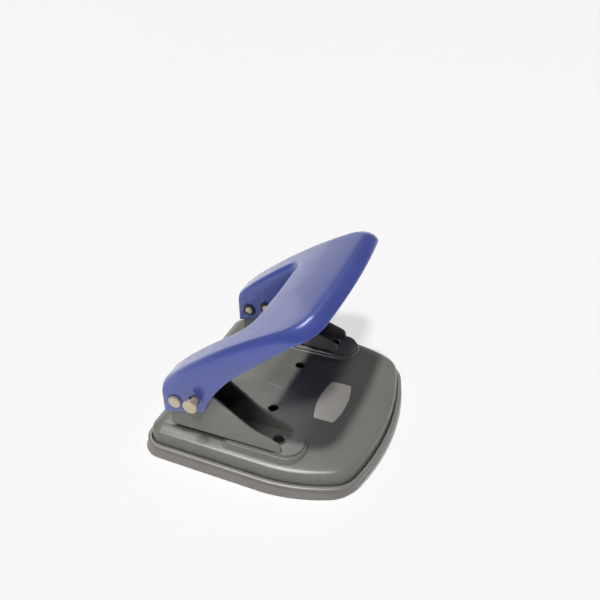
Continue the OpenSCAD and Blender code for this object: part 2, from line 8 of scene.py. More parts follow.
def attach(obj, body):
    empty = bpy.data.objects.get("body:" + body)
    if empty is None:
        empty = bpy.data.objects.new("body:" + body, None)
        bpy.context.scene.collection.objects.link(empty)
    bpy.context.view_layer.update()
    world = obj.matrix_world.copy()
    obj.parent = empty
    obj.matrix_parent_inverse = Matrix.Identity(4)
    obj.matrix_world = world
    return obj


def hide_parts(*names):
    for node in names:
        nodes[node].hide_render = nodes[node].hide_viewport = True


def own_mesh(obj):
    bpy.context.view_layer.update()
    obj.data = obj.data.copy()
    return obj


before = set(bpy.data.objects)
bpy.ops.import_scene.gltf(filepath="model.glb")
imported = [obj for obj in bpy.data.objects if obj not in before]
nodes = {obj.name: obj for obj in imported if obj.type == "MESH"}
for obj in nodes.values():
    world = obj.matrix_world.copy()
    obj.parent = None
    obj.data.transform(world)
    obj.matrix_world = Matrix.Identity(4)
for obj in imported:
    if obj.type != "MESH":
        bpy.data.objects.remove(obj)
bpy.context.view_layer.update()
scene = bpy.context.scene
scene.view_settings.view_transform = "Standard"
mm = 0.001
print("frame loaded:", len(nodes), "nodes")


# camera, at the photograph's place and angle
shot = dict(place=(-0.23968, -0.10039, 0.23819), look=(0.7790, 0.3047, -0.5479), lens=39.6, sensor=36.0,
            near=0.01)


def addCamera():
    data = bpy.data.cameras.new("deskCamera")
    data.lens = shot["lens"]
    data.sensor_width = shot["sensor"]
    data.clip_start = shot["near"]
    cam = bpy.data.objects.new("deskCamera", data)
    cam.location = shot["place"]
    cam.rotation_euler = Vector(shot["look"]).to_track_quat("-Z", "Y").to_euler()
    scene.collection.objects.link(cam)
    scene.camera = cam


addCamera()
print("camera placed")


# shader tools
def addNode(tree, kind, at, values=None, **settings):
    node = tree.nodes.new("ShaderNode" + kind)
    node.location = at
    for key, value in settings.items():
        setattr(node, key, value)
    for key, value in (values or {}).items():
        node.inputs[key].default_value = value
    return node


def newGroup(name, inputs, outputs):
    tree = bpy.data.node_groups.new(name, "ShaderNodeTree")
    for label, kind, value in inputs:
        socket = tree.interface.new_socket(label, in_out="INPUT", socket_type="NodeSocket" + kind)
        socket.default_value = value
    for label, kind in outputs:
        tree.interface.new_socket(label, in_out="OUTPUT", socket_type="NodeSocket" + kind)
    start = tree.nodes.new("NodeGroupInput")
    start.location = (-900, 0)
    end = tree.nodes.new("NodeGroupOutput")
    end.location = (700, 0)
    return tree, start, end


def mixColour(tree, at, fac, a, b):
    node = addNode(tree, "Mix", at, data_type="RGBA")
    for source, index in ((fac, 0), (a, 6), (b, 7)):
        if isinstance(source, bpy.types.NodeSocket):
            tree.links.new(source, node.inputs[index])
        else:
            node.inputs[index].default_value = source
    return node.outputs[2]


def span(tree, at, value, low, high, toLow, toHigh, smooth=False):
    node = addNode(tree, "MapRange", at, {1: low, 2: high, 3: toLow, 4: toHigh})
    if smooth:
        node.interpolation_type = "SMOOTHSTEP"
    tree.links.new(value, node.inputs[0])
    return node


def product(tree, at, a, b):
    node = addNode(tree, "Math", at, operation="MULTIPLY")
    tree.links.new(a, node.inputs[0])
    tree.links.new(b, node.inputs[1])
    return node.outputs[0]


def noise(tree, at, scale, detail, stretch=None):
    coord = addNode(tree, "TexCoord", (at[0] - 400, at[1]))
    node = addNode(tree, "TexNoise", at, {"Detail": detail})
    source = coord.outputs["Object"]
    if stretch:
        mapping = addNode(tree, "Mapping", (at[0] - 200, at[1]), {"Scale": stretch})
        tree.links.new(source, mapping.inputs["Vector"])
        source = mapping.outputs["Vector"]
    tree.links.new(source, node.inputs["Vector"])
    if isinstance(scale, bpy.types.NodeSocket):
        tree.links.new(scale, node.inputs["Scale"])
    else:
        node.inputs["Scale"].default_value = scale
    return node.outputs[0]


# clouds: slow drift of colour and gloss over a sprayed or moulded skin
cloudLook = dict(driftDetail=3.0, drift=(0.35, 0.65), glossScale=170.0, glossDetail=2.0, gloss=(0.3, 0.7))


def makeClouds():
    s = cloudLook
    tree, start, end = newGroup(
        "finishClouds",
        [("Colour", "Color", (0.5, 0.5, 0.5, 1)), ("Deep", "Color", (0.4, 0.4, 0.4, 1)),
         ("Scale", "Float", 60.0), ("Rough low", "Float", 0.3), ("Rough high", "Float", 0.4)],
        [("Colour", "Color"), ("Roughness", "Float")])
    drift = noise(tree, (-500, 200), start.outputs["Scale"], s["driftDetail"])
    fac = span(tree, (-250, 200), drift, *s["drift"], 0.0, 1.0)
    mixed = mixColour(tree, (0, 200), fac.outputs[0], start.outputs["Colour"], start.outputs["Deep"])
    tree.links.new(mixed, end.inputs["Colour"])
    gloss = noise(tree, (-500, -200), s["glossScale"], s["glossDetail"])
    rough = span(tree, (0, -200), gloss, *s["gloss"], 0.0, 1.0)
    tree.links.new(start.outputs["Rough low"], rough.inputs[3])
    tree.links.new(start.outputs["Rough high"], rough.inputs[4])
    tree.links.new(rough.outputs[0], end.inputs["Roughness"])
    return tree


# skin: height of orange peel, flake or moulded grain
def makeSkin():
    tree, start, end = newGroup(
        "fineSkin",
        [("Coarse", "Float", 700.0), ("Fine", "Float", 5000.0), ("Fine share", "Float", 0.4)],
        [("Height", "Float")])
    coarse = noise(tree, (-500, 150), start.outputs["Coarse"], 1.0)
    fine = noise(tree, (-500, -150), start.outputs["Fine"], 1.0)
    both = addNode(tree, "Mix", (0, 0))
    tree.links.new(start.outputs["Fine share"], both.inputs[0])
    tree.links.new(coarse, both.inputs[2])
    tree.links.new(fine, both.inputs[3])
    tree.links.new(both.outputs[0], end.inputs["Height"])
    return tree


# scuffs: short rubbed streaks, thin and few
scuffLook = dict(scale=90.0, detail=4.0, stretch=(1.0, 9.0, 9.0), thin=(0.62, 0.72), patchScale=35.0,
                 patchDetail=1.0, patch=(0.5, 0.7))


def makeScuffs():
    s = scuffLook
    tree, start, end = newGroup("handScuffs", [("Amount", "Float", 0.3)], [("Mask", "Float")])
    streak = noise(tree, (-500, 150), s["scale"], s["detail"], s["stretch"])
    thin = span(tree, (-250, 150), streak, *s["thin"], 0.0, 1.0)
    patch = noise(tree, (-500, -150), s["patchScale"], s["patchDetail"])
    where = span(tree, (-250, -150), patch, *s["patch"], 0.0, 1.0)
    both = product(tree, (0, 0), thin.outputs[0], where.outputs[0])
    tree.links.new(product(tree, (200, 0), both, start.outputs["Amount"]), end.inputs["Mask"])
    return tree


# dust: a thin veil that settles on faces that look up
dustLook = dict(facing=(0.35, 0.95), scale=220.0, detail=6.0, speck=(0.3, 0.75), veil=(0.4, 1.0))


def makeDust():
    s = dustLook
    tree, start, end = newGroup("settledDust", [("Amount", "Float", 0.2)], [("Mask", "Float")])
    geo = addNode(tree, "NewGeometry", (-700, 150))
    parts = addNode(tree, "SeparateXYZ", (-500, 150))
    tree.links.new(geo.outputs["Normal"], parts.inputs[0])
    up = span(tree, (-250, 150), parts.outputs["Z"], *s["facing"], 0.0, 1.0)
    speck = noise(tree, (-500, -150), s["scale"], s["detail"])
    veil = span(tree, (-250, -150), speck, *s["speck"], *s["veil"])
    both = product(tree, (0, 0), up.outputs[0], veil.outputs[0])
    tree.links.new(product(tree, (200, 0), both, start.outputs["Amount"]), end.inputs["Mask"])
    return tree


clouds = makeClouds()
skin = makeSkin()
scuffs = makeScuffs()
dust = makeDust()


def placeGroup(tree, group, at, values):
    node = addNode(tree, "Group", at)
    node.node_tree = group
    for key, value in values.items():
        node.inputs[key].default_value = value
    return node


# painted shade inside a bracket's channel: near black, deepening from its open front towards the punch
def paintedShadeMask(tree, paintedShade):
    spot = addNode(tree, "TexCoord", (-1500, 700))
    parts = addNode(tree, "SeparateXYZ", (-1300, 700))
    tree.links.new(spot.outputs["Object"], parts.inputs[0])
    side = addNode(tree, "Math", (-1100, 800), operation="ABSOLUTE")
    tree.links.new(parts.outputs["X"], side.inputs[0])
    off = addNode(tree, "Math", (-900, 800), {1: paintedShade["midX"] * mm}, operation="SUBTRACT")
    tree.links.new(side.outputs[0], off.inputs[0])
    reach = addNode(tree, "Math", (-700, 800), operation="ABSOLUTE")
    tree.links.new(off.outputs[0], reach.inputs[0])
    inner, along = [[edge * mm for edge in paintedShade[key]] for key in ("inner", "along")]
    inside = span(tree, (-500, 800), reach.outputs[0], *inner, paintedShade["amount"], 0.0, smooth=True)
    behind = span(tree, (-500, 600), parts.outputs["Y"], *along, 0.0, 1.0, smooth=True)
    return product(tree, (-300, 700), inside.outputs[0], behind.outputs[0])


# wear on every finish, and painted shade: the colour of dust, the near-black painted into the bracket
# channels as shade, how far dust dulls, and the depth of the skin's bump
wearAndShade = dict(dust=(0.62, 0.61, 0.58), paintedShade=(0.012, 0.012, 0.011), dull=0.35, depth=0.0001)


def makeFinish(name, look):
    material = bpy.data.materials.new(name)
    material.use_nodes = True
    tree = material.node_tree
    shader = tree.nodes["Principled BSDF"]
    shader.inputs["Metallic"].default_value = look["metallic"]
    shader.inputs["Coat Weight"].default_value = look.get("coat", 0.0)
    shader.inputs["Coat Roughness"].default_value = look.get("coatRough", 0.1)
    shader.inputs["Specular IOR Level"].default_value = look.get("specular", 0.5)
    base = placeGroup(tree, clouds, (-900, 200), {
        "Colour": (*look["colour"], 1), "Deep": (*look["deep"], 1), "Scale": look.get("cloudScale", 60.0),
        "Rough low": look["rough"][0], "Rough high": look["rough"][1]})
    rub = placeGroup(tree, scuffs, (-900, -50), {"Amount": look["scuff"]})
    veil = placeGroup(tree, dust, (-900, -250), {"Amount": look["dust"]})
    worn = mixColour(tree, (-600, 200), rub.outputs["Mask"], base.outputs["Colour"], (*look["bare"], 1))
    veiled = mixColour(tree, (-350, 200), veil.outputs["Mask"], worn, (*wearAndShade["dust"], 1))
    # painted shade: the inside of a bracket's channel is darkened towards black where shade falls
    if "paintedShade" in look:
        veiled = mixColour(tree, (-120, 200), paintedShadeMask(tree, look["paintedShade"]), veiled, (*wearAndShade["paintedShade"], 1))
    tree.links.new(veiled, shader.inputs["Base Color"])
    dull = addNode(tree, "Math", (-350, -100), {1: wearAndShade["dull"]}, operation="MULTIPLY_ADD")
    tree.links.new(veil.outputs["Mask"], dull.inputs[0])
    tree.links.new(base.outputs["Roughness"], dull.inputs[2])
    tree.links.new(dull.outputs[0], shader.inputs["Roughness"])
    grain = placeGroup(tree, skin, (-900, -450), {
        "Coarse": look["peel"], "Fine": look["grain"], "Fine share": look.get("fineShare", 0.4)})
    bump = addNode(tree, "Bump", (-350, -400), {"Strength": look["relief"], "Distance": wearAndShade["depth"]})
    tree.links.new(grain.outputs["Height"], bump.inputs["Height"])
    tree.links.new(bump.outputs["Normal"], shader.inputs["Normal"])
    return material


finishes = dict(
    leverLacquer=dict(
        colour=(0.066, 0.096, 0.395), deep=(0.060, 0.087, 0.370), rough=(0.34, 0.42), metallic=0.20,
        coat=0.85, coatRough=0.12, scuff=0.05, bare=(0.20, 0.22, 0.46), dust=0.03,
        relief=0.06, peel=900.0, grain=6000.0),
    baseLacquer=dict(
        colour=(0.178, 0.181, 0.156), deep=(0.166, 0.169, 0.145), rough=(0.27, 0.28), metallic=0.0,
        specular=0.35, scuff=0.006, bare=(0.26, 0.26, 0.24), dust=0.03,
        relief=0.05, peel=800.0, grain=7000.0),
    bracketLacquer=dict(
        colour=(0.215, 0.206, 0.187), deep=(0.196, 0.188, 0.170), rough=(0.30, 0.38), metallic=0.0,
        specular=0.35, scuff=0.012, bare=(0.40, 0.39, 0.37), dust=0.03,
        relief=0.12, peel=900.0, grain=7000.0,
        # painted shade darkening the inside of the channel towards the punch
        paintedShade=dict(midX=40.0, inner=(6.3, 7.0), along=(-10.0, 7.0), amount=0.85)),
    trayPlastic=dict(
        colour=(0.210, 0.195, 0.185), deep=(0.192, 0.178, 0.169), rough=(0.28, 0.36), metallic=0.0,
        scuff=0.02, bare=(0.30, 0.28, 0.26), dust=0.05,
        relief=0.25, peel=2200.0, grain=9000.0, fineShare=0.6),
    labelMetal=dict(
        colour=(0.900, 0.845, 0.700), deep=(0.870, 0.815, 0.670), rough=(0.34, 0.42), metallic=0.2,
        scuff=0.05, bare=(0.80, 0.79, 0.75), dust=0.02,
        relief=0.08, peel=3000.0, grain=9000.0),
    markPaint=dict(
        colour=(0.34, 0.34, 0.31), deep=(0.31, 0.31, 0.28), rough=(0.40, 0.50), metallic=0.0,
        scuff=0.05, bare=(0.40, 0.40, 0.38), dust=0.02,
        relief=0.10, peel=3000.0, grain=9000.0),
    pinPlating=dict(
        colour=(0.61, 0.54, 0.39), deep=(0.55, 0.48, 0.34), rough=(0.28, 0.38), metallic=0.55,
        cloudScale=260.0, scuff=0.3, bare=(0.70, 0.66, 0.56), dust=0.02,
        relief=0.12, peel=2500.0, grain=9000.0),
    ringBlack=dict(
        colour=(0.012, 0.012, 0.014), deep=(0.018, 0.018, 0.020), rough=(0.32, 0.44), metallic=0.2,
        scuff=0.3, bare=(0.10, 0.10, 0.10), dust=0.02,
        relief=0.2, peel=2500.0, grain=9000.0),
    eyeletSteel=dict(
        colour=(0.20, 0.195, 0.185), deep=(0.16, 0.155, 0.148), rough=(0.28, 0.40), metallic=0.7,
        scuff=0.3, bare=(0.45, 0.44, 0.42), dust=0.02,
        relief=0.15, peel=2500.0, grain=9000.0),
    punchSteel=dict(
        colour=(0.52, 0.52, 0.54), deep=(0.46, 0.46, 0.48), rough=(0.18, 0.28), metallic=1.0,
        scuff=0.3, bare=(0.66, 0.66, 0.68), dust=0.0,
        relief=0.10, peel=3000.0, grain=9000.0),
    springSteel=dict(
        colour=(0.50, 0.50, 0.50), deep=(0.40, 0.40, 0.41), rough=(0.22, 0.32), metallic=1.0,
        scuff=0.3, bare=(0.66, 0.66, 0.66), dust=0.0,
        relief=0.10, peel=3000.0, grain=9000.0),
)
finish = {name: makeFinish(name, look) for name, look in finishes.items()}
print("finishes mixed:", len(finish))


# mesh tools; the drums that cut holes have this many sides and these lengths in metres
drum = dict(sides=48, throughArm=0.04, throughPlate=0.01)
upright = (0, 0, 1)


def startRing(bm, points, closed):
    verts = [bm.verts.new(p) for p in points]
    count = len(verts) if closed else len(verts) - 1
    edges = [bm.edges.new((verts[i], verts[(i + 1) % len(verts)])) for i in range(count)]
    return dict(verts=verts, edges=edges)


def liftRing(bm, ring, points):
    made = bmesh.ops.extrude_edge_only(bm, edges=ring["edges"])["geom"]
    fresh = {g for g in made if isinstance(g, bmesh.types.BMVert)}
    verts = []
    for old, spot in zip(ring["verts"], points):
        new = next(e.other_vert(old) for e in old.link_edges if e.other_vert(old) in fresh)
        new.co = spot
        verts.append(new)
    edges = [g for g in made if isinstance(g, bmesh.types.BMEdge) and all(v in fresh for v in g.verts)]
    return dict(verts=verts, edges=edges)


def capRing(bm, ring):
    bmesh.ops.edgeloop_fill(bm, edges=ring["edges"])


# turns an open sheet over if it faces down
def faceUp(bm):
    bm.normal_update()
    if sum(f.normal.z * f.calc_area() for f in bm.faces) < 0:
        bmesh.ops.reverse_faces(bm, faces=bm.faces[:])


def toObject(bm, name):
    mesh = bpy.data.meshes.new(name)
    bm.to_mesh(mesh)
    bm.free()
    obj = bpy.data.objects.new(name, mesh)
    scene.collection.objects.link(obj)
    return obj


# bakes the modifiers into the mesh and drops the cutters they used
def settle(obj, cutters=()):
    bpy.context.view_layer.update()
    graph = bpy.context.evaluated_depsgraph_get()
    mesh = bpy.data.meshes.new_from_object(obj.evaluated_get(graph))
    obj.modifiers.clear()
    obj.data = mesh
    for cutter in cutters:
        bpy.data.objects.remove(cutter)


def dress(obj, material, body, sharp, stands=(), even=False):
    mesh = obj.data
    mesh.materials.clear()
    mesh.materials.append(finish[material])
    for face in mesh.polygons:
        face.use_smooth = True
        face.material_index = 0
    mesh.set_sharp_from_angle(angle=math.radians(sharp))
    if even:
        weighNormals(obj)
        settle(obj)
    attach(obj, body)
    if stands:
        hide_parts(*stands)
    return obj


def newDrum(radius, length, matrix):
    bm = bmesh.new()
    bmesh.ops.create_cone(bm, cap_ends=True, segments=drum["sides"], radius1=radius, radius2=radius,
                          depth=length, matrix=matrix)
    return bm


def rod(name, centre, axis, radius, length):
    turn = Vector(axis).to_track_quat("Z", "Y").to_matrix().to_4x4()
    return toObject(newDrum(radius, length, Matrix.Translation(centre) @ turn), name)


def cutWith(obj, cutters):
    for cutter in cutters:
        cut = obj.modifiers.new("cut", "BOOLEAN")
        cut.operation = "DIFFERENCE"
        cut.solver = "EXACT"
        cut.object = cutter
        cutter.hide_render = True


# gives an open sheet its thickness, below the drawn face
def thicken(obj, thickness):
    sheet = obj.modifiers.new("sheet", "SOLIDIFY")
    sheet.thickness = thickness
    sheet.offset = -1
    sheet.use_even_offset = True


def roundEdges(obj, width, angle):
    edge = obj.modifiers.new("edge", "BEVEL")
    edge.width = width
    edge.segments = 2
    edge.profile = 0.5
    edge.limit_method = "ANGLE"
    edge.angle_limit = math.radians(angle)
    edge.harden_normals = False


# broad faces keep their own direction next to small rounded edges
def weighNormals(obj):
    even = obj.modifiers.new("even", "WEIGHTED_NORMAL")
    even.mode = "FACE_AREA"
    even.weight = 100
    even.keep_sharp = True


def lerp(a, b, t):
    return a + (b - a) * t


def clampShare(t):
    return min(max(t, 0), 1)


def quarterTurn(steps):
    return [math.pi / 2 * i / steps for i in range(steps + 1)]


sides = dict(left=-1, right=1)

# places shared by the pieces, in millimetres; the eyelets lie that far in front of the punch
place = dict(bracketX=40.0, pivotY=35.2, pivotZ=34.5, punchY=24.8, driveZ=38.2, plateZ=15.3, padZ=17.0,
             tongueZ=18.5, wallFrontY=-16.0, stopY=12.2, armWide=18.4, eyeletFront=36.6, eyeletRear=18.0)


# lever: a channel section drawn along the horseshoe of arms and nose, u forward from the pivot and w up
leverShape = dict(
    tilt=33.0, sheet=1.2, length=87.2, openingLength=45.5, openingRound=9.0, cornerRound=13.5,
    frontBow=340.0, crestHeight=15.1, crestAt=46.0, crownRadius=280.0, armBend=5.0, shoulderWidth=7.0,
    noseWidth=6.6, noseDrop=5.2, noseLip=0.4, noseCut=6.0, openingBend=3.5, openingSkirt=6.0,
    armIn=30.8, armOut=49.2, swell=0.3, heel=6.4, knuckleAt=7.0, knuckleFall=12.0,
    toe=(11.2, -9.5), toeSlope=16.5, toeRound=3.0, sweepPull=(24.0, 0.5), sweepEnd=(46.7, 3.8),
    sweepGaps=(0.6, 1.2), cornerLow=7.9, pinHole=2.02, slotHole=2.4, slotFrom=10.4, slotTo=11.04,
    slotTurn=19.58, edgeRound=0.28)
leverSteps = dict(toe=8, sweep=28, turn=16, bow=10, bend=10, top=10, opening=8)


def crown(u):
    s = leverShape
    return s["crestHeight"] - s["crownRadius"] + math.sqrt(s["crownRadius"] ** 2 - (u - s["crestAt"]) ** 2)


def topAt(u):
    s = leverShape
    if u < s["knuckleAt"]:
        return crown(s["knuckleAt"]) - (s["knuckleAt"] - u) * math.tan(math.radians(s["knuckleFall"]))
    return crown(u)


def toeLine(u):
    s = leverShape
    return s["toe"][1] + (s["toe"][0] - u) * math.tan(math.radians(s["toeSlope"]))


def sweepPoint(t):
    a, b, c = [Vector(leverShape[key]) for key in ("toe", "sweepPull", "sweepEnd")]
    return a.lerp(b, t).lerp(b.lerp(c, t), t)


def roundedToe(steps):
    s = leverShape
    p = Vector(s["toe"])
    u = (Vector((0, toeLine(0))) - p).normalized()
    v = (Vector(s["sweepPull"]) - p).normalized()
    half = math.acos(u.dot(v)) / 2
    c = p + (u + v).normalized() * s["toeRound"] / math.sin(half)
    a = p + u * s["toeRound"] / math.tan(half) - c
    b = p + v * s["toeRound"] / math.tan(half) - c
    turn = math.pi - 2 * half
    way = -1 if a.x * b.y - a.y * b.x < 0 else 1
    out = []
    for i in range(steps + 1):
        t = way * turn * i / steps
        out.append(c + Vector((a.x * math.cos(t) - a.y * math.sin(t), a.x * math.sin(t) + a.y * math.cos(t))))
    return out


def lowerEdge():
    s, n = leverShape, leverSteps
    armEnd = s["openingLength"] - s["openingRound"]
    toe = roundedToe(n["toe"])
    sweep = [sweepPoint(i / n["sweep"]) for i in range(1, n["sweep"] + 1)]
    points = [Vector((u, toeLine(u))) for u in (s["toe"][0] / 4, s["toe"][0] / 2)] + toe
    fromToe, toEnd = s["sweepGaps"]
    points += [p for p in sweep if p.x > toe[-1].x + fromToe and p.x < armEnd - toEnd]
    return points, sweep


def frontLow(u):
    s = leverShape
    nose = crown(s["length"]) - s["noseDrop"] - s["noseLip"]
    cornerU = s["length"] - s["cornerRound"]
    if u < cornerU:
        return lerp(s["sweepEnd"][1], s["cornerLow"], (u - s["sweepEnd"][0]) / (cornerU - s["sweepEnd"][0]))
    return lerp(s["cornerLow"], nose, (u - cornerU) / (s["length"] - cornerU))


def lowAt(u, edge):
    if u > leverShape["sweepEnd"][0]:
        return frontLow(u)
    for a, b in zip(edge, edge[1:]):
        if a.x <= u <= b.x:
            return lerp(a.y, b.y, (u - a.x) / (b.x - a.x))
    return edge[-1].y


# stations from the left arm round to the right one:
# outer point, inner point, outer low, inner low, bend width, bend drop, bend cut
def leverStations():
    s, n = leverShape, leverSteps
    points, sweep = lowerEdge()
    edge = points + [p for p in sweep if p.x > points[-1].x]
    armEnd = s["openingLength"] - s["openingRound"]
    swellX = s["armOut"] + s["swell"]
    openingLow = topAt(s["openingLength"]) - s["openingSkirt"]
    shoulderH = crown(s["length"] - s["cornerRound"]) - s["cornerLow"] - s["noseLip"]
    bowX = swellX - s["cornerRound"]
    bowTurn = math.asin(bowX / (s["frontBow"] - s["cornerRound"]))
    bowIn = -s["armIn"] / 3
    cornerMid = s["length"] - s["frontBow"] + (s["frontBow"] - s["cornerRound"]) * math.cos(bowTurn)
    bend, cut = s["armBend"], s["noseCut"]
    out = [((-s["armOut"], p.x), (-s["armIn"], p.x), p.y, p.y, bend, bend, 0) for p in points]
    for i in range(n["turn"] + 1):
        t = i / n["turn"]
        a = math.pi / 2 * t
        u = lerp(armEnd, cornerMid, t)
        inner = (-s["armIn"] + s["openingRound"] * (1 - math.cos(a)),
                 armEnd + s["openingRound"] * math.sin(a))
        out.append(((-lerp(s["armOut"], swellX, t), u), inner,
                    lowAt(u, edge), lerp(lowAt(armEnd, edge), openingLow, t),
                    lerp(bend, s["shoulderWidth"], t * t), lerp(bend, shoulderH, t), cut * t))
    for i in range(1, n["turn"] + 1):
        t = i / n["turn"]
        a = lerp(math.pi / 2, bowTurn, t)
        q = (-bowX - s["cornerRound"] * math.sin(a), cornerMid + s["cornerRound"] * math.cos(a))
        inner = (lerp(-s["armIn"] + s["openingRound"], bowIn, t), s["openingLength"])
        out.append((q, inner, lowAt(q[1], edge), openingLow, lerp(s["shoulderWidth"], s["noseWidth"], t),
                    lerp(shoulderH, s["noseDrop"], t), cut))
    for i in range(1, n["bow"] + 1):
        t = i / n["bow"]
        a = lerp(bowTurn, 0, t)
        q = (-s["frontBow"] * math.sin(a), s["length"] - s["frontBow"] * (1 - math.cos(a)))
        out.append((q, (lerp(bowIn, 0, t), s["openingLength"]), lowAt(q[1], edge), openingLow,
                    s["noseWidth"], s["noseDrop"], cut))
    mirrored = [((-p[0], p[1]), (-q[0], q[1]), *rest) for p, q, *rest in reversed(out[:-1])]
    return out + mirrored


def leverSection(station, end):
    s, n = leverShape, leverSteps
    outer, inner, lowOut, lowIn, wide, drop, cut = station
    outer, inner = Vector(outer), Vector(inner)
    full = (inner - outer).length
    d = (inner - outer) / full
    c = math.radians(cut)
    bigW, bigH, hem = wide / math.cos(c), drop / (1 - math.sin(c)), s["openingBend"]
    path = [(outer, lowOut)]
    for i in range(n["bend"] + 1):
        a = lerp(c, math.pi / 2, i / n["bend"])
        q = outer + d * (wide - bigW * math.cos(a))
        path.append((q, topAt(q.y) - bigH + bigH * math.sin(a)))
    for i in range(1, n["top"]):
        q = outer + d * lerp(wide, full - hem, i / n["top"])
        path.append((q, topAt(q.y)))
    for i in range(n["opening"] + 1):
        a = lerp(math.pi / 2, 0, i / n["opening"])
        q = inner - d * hem * (1 - math.cos(a))
        path.append((q, topAt(q.y) - hem + hem * math.sin(a)))
    path.append((inner, lowIn))
    tilt = math.radians(s["tilt"])
    points = []
    for q, w in path:
        u = (w * math.sin(tilt) - s["heel"]) / math.cos(tilt) if end else q.y
        y = place["pivotY"] - u * math.cos(tilt) + w * math.sin(tilt)
        z = place["pivotZ"] + u * math.sin(tilt) + w * math.cos(tilt)
        points.append(Vector((q.x, y, z)) * mm)
    return points


# slot for a drive pin: a drum whose front half is drawn out along the slot
def slotCutter(middle):
    s = leverShape
    turn = math.radians(s["slotTurn"])
    way = Vector((0, -math.cos(turn), math.sin(turn)))
    centre = middle + way * s["slotFrom"] * mm
    turned = Matrix.Translation(centre) @ Matrix.Rotation(math.pi / 2, 4, "Y")
    bm = newDrum(s["slotHole"] * mm, drum["throughArm"], turned)
    front = [v for v in bm.verts if (v.co - centre).dot(way) > 1e-6]
    bmesh.ops.translate(bm, vec=way * (s["slotTo"] - s["slotFrom"]) * mm, verts=front)
    return toObject(bm, "slotCut")


def makeLever():
    s = leverShape
    tilt, slope = math.radians(s["tilt"]), math.tan(math.radians(s["toeSlope"]))
    heelDrop = s["toe"][1] + s["toe"][0] * slope + s["heel"] * slope / math.cos(tilt)
    heelLow = heelDrop / (1 + math.tan(tilt) * slope)
    ends = [((x * s["armOut"], 0), (x * s["armIn"], 0), heelLow, heelLow, s["armBend"], s["armBend"], 0)
            for x in (-1, 1)]
    bm = bmesh.new()
    ring = startRing(bm, leverSection(ends[0], True), False)
    for station in leverStations():
        ring = liftRing(bm, ring, leverSection(station, False))
    liftRing(bm, ring, leverSection(ends[1], True))
    faceUp(bm)
    pressing = toObject(bm, "leverPressing")
    thicken(pressing, s["sheet"] * mm)
    cutters = []
    for x in sides.values():
        middle = Vector((x * place["bracketX"], place["pivotY"], place["pivotZ"])) * mm
        cutters.append(rod("pivotCut", middle, (1, 0, 0), s["pinHole"] * mm, drum["throughArm"]))
        cutters.append(slotCutter(middle))
    cutWith(pressing, cutters)
    settle(pressing, cutters)
    roundEdges(pressing, s["edgeRound"] * mm, 55)
    settle(pressing)
    return dress(pressing, "leverLacquer", "lever", 38, ["lever"])


lever = makeLever()
print("lever drawn:", len(lever.data.polygons), "faces")


# base plate and tray share one outline of tangent arcs
# a direction there is the outward normal's turn from -Y to +X
baseShape = dict(
    wide=113.0, deep=112.8, frontR=127.0, cornerR=15.0, flankR=78.0, rearR=8.5, cornerTurn=66.0, taper=1.1,
    lipW=1.6, lipZ=6.5, lipRound=0.4, flare=1.2, tuck=0.8, skirtGap=0.4, skirtLean=0.3, ledgeZ=3.6,
    restGap=0.05, edgeR=3.2, browW=11.0, browFall=2.0, flatStep=0.5, plateT=1.2, rearShare=0.452,
    holeX=18.0, holeY=0.4, holeR=2.5, punchR=2.8, eyeletR=3.12, cutZ=15.0, edgeRound=0.12)
baseSteps = dict(front=14, corner=18, flank=16, side=10, rear=16, back=10, edge=10, brow=14)


def outward(a):
    return Vector((math.sin(a), -math.cos(a)))


def baseOutline():
    s, n = baseShape, baseSteps
    lipOut = s["lipW"] - s["skirtGap"] + s["lipRound"]
    edgeW = s["wide"] / 2 - lipOut - s["flare"]
    edgeD = s["deep"] - 2 * lipOut - s["flare"]
    turn, side = math.radians(s["cornerTurn"]), math.radians(90 + s["taper"])
    across = edgeW - s["flankR"] - (s["cornerR"] - s["flankR"]) * math.sin(turn)
    front = math.asin(across / (s["frontR"] - s["cornerR"]))
    straight = (edgeD
                - s["frontR"] * (1 - math.cos(front))
                - s["cornerR"] * (math.cos(front) - math.cos(turn))
                - s["flankR"] * (math.cos(turn) - math.cos(side))
                - s["rearR"] * (math.cos(side) + 1)) / math.sin(side)
    stretches = ((s["frontR"], front, n["front"]), (s["cornerR"], turn, n["corner"]),
                 (s["flankR"], side, n["flank"]), (None, straight, n["side"]),
                 (s["rearR"], math.pi, n["rear"]), (None, None, n["back"]))
    p, a = Vector((0, lipOut - s["deep"] / 2)), 0.0
    half = [(p.copy(), a)]
    for radius, end, steps in stretches:
        begin, at = p.copy(), a
        for i in range(1, steps + 1):
            if radius:
                a = lerp(at, end, i / steps)
                p = begin + radius * (outward(a) - outward(at))
            else:
                length = begin.x if end is None else end
                p = begin + Vector((math.cos(at), math.sin(at))) * length * i / steps
            half.append((p.copy(), a))
    return half[:-1], front, lipOut


outline, frontTurn, lipOut = baseOutline()
flankEnd = baseSteps["front"] + baseSteps["corner"] + baseSteps["flank"]
flankY = outline[flankEnd][0].y
rearY = outline[flankEnd + baseSteps["side"]][0].y


# the border narrows along the sides, so that it fits round the tight rear corners
def borderShare(y):
    return lerp(1, baseShape["rearShare"], clampShare((y - flankY) / (rearY - flankY)))


def baseRing(off, z, lean=0.0, run=0.0):
    s = baseShape
    right = []
    for p, a in outline:
        share = clampShare((a - frontTurn) / (math.pi / 2 - frontTurn))
        q = p + outward(a) * (off + lean * lerp(-s["tuck"], s["flare"], share) - run * borderShare(p.y))
        right.append(Vector((q.x, q.y, z)) * mm)
    left = [Vector((-v.x, v.y, v.z)) for v in reversed(right[1:])]
    return right + left


